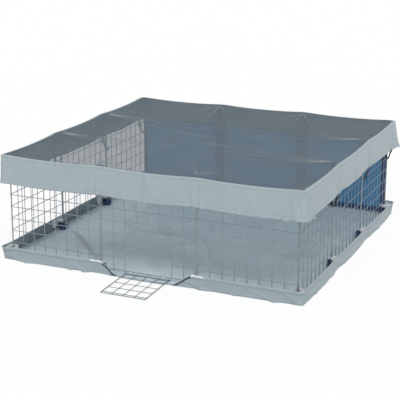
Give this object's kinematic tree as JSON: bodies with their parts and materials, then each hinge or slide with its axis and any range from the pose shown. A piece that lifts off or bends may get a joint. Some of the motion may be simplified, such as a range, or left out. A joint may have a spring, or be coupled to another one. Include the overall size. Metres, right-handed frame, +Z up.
{
  "type": "guinea pig playpen",
  "caption": "Square playpen for guinea pigs: wire-grid panels in a fabric tray, a drop-down wire door with a bail latch, blue screens, and a fabric cover with a mesh roof.",
  "frame": {"origin": "middle of the pen on the ground, at the underside of the tray's floor", "axes": "+Z up, +X to the right seen from the door side, +Y from the door side to the back"},
  "size_m": [1.1282, 1.2929, 0.3804],
  "materials": {
    "zinc_wire": "satin zinc-plated wire",
    "bright_ring": "bright plated wire",
    "navy_plastic": "moulded navy plastic",
    "tray_canvas": "coated grey-blue canvas",
    "white_fastener": "white hook-and-loop tape",
    "roof_net": "fine dark see-through mesh",
    "cover_canvas": "pale grey-blue coated canvas",
    "webbing": "grey webbing",
    "black_plastic": "moulded black plastic",
    "blue_sheet": "bright blue coated sheet",
    "navy_tape": "navy binding tape"
  },
  "bodies": {
    "pen": {"front_left_panel": "zinc_wire", "front_door_panel": "zinc_wire", "front_right_panel": "zinc_wire", "right_front_panel": "zinc_wire", "right_middle_panel": "zinc_wire", "right_back_panel": "zinc_wire", "back_right_panel": "zinc_wire", "back_middle_panel": "zinc_wire", "back_left_panel": "zinc_wire", "left_back_panel": "zinc_wire", "left_middle_panel": "zinc_wire", "left_front_panel": "zinc_wire", "top_connector_01": "navy_plastic", "top_connector_02": "navy_plastic", "top_connector_03": "navy_plastic", "top_connector_04": "navy_plastic", "top_connector_05": "navy_plastic", "top_connector_06": "navy_plastic", "top_connector_07": "navy_plastic", "top_connector_08": "navy_plastic", "top_connector_09": "navy_plastic", "top_connector_10": "navy_plastic", "top_connector_11": "navy_plastic", "top_connector_12": "navy_plastic", "bottom_connector_01": "navy_plastic", "bottom_connector_02": "navy_plastic", "bottom_connector_03": "navy_plastic", "bottom_connector_04": "navy_plastic", "bottom_connector_05": "navy_plastic", "bottom_connector_06": "navy_plastic", "bottom_connector_07": "navy_plastic", "bottom_connector_08": "navy_plastic", "bottom_connector_09": "navy_plastic", "bottom_connector_10": "navy_plastic", "bottom_connector_11": "navy_plastic", "bottom_connector_12": "navy_plastic", "tray_floor": "tray_canvas", "tray_wall_front": "tray_canvas", "tray_wall_right": "tray_canvas", "tray_wall_back": "tray_canvas", "tray_wall_left": "tray_canvas", "fastener_patches": "white_fastener", "cover_hooks": "black_plastic", "screen_left": "blue_sheet", "screen_middle": "blue_sheet", "screen_right": "blue_sheet", "screen_binding_left": "navy_tape", "screen_binding_middle": "navy_tape", "screen_binding_right": "navy_tape"},
    "cover": {"roof_mesh": "roof_net", "skirt_front": "cover_canvas", "skirt_right": "cover_canvas", "skirt_back": "cover_canvas", "skirt_left": "cover_canvas", "pull_straps": "webbing"},
    "door": {"door_grille": "zinc_wire", "door_hinge_rings": "bright_ring"},
    "latch": {"latch_bail": "zinc_wire"}
  },
  "joints": [
    {"name": "door_hinge", "type": "hinge", "parent": "pen", "child": "door", "pos_m": [0, -0.5402, 0.0139], "axis": [-1, 0, 0], "range_deg": [0, 91.3]},
    {"name": "latch_swing", "type": "hinge", "parent": "pen", "child": "latch", "pos_m": [0, -0.5402, 0.1899], "axis": [-1, 0, 0], "range_deg": [-90, 170]},
    {"name": "cover_lift", "type": "slide", "parent": "pen", "child": "cover", "axis": [0, 0, 1], "range_m": [0, 0.15]}
  ]
}
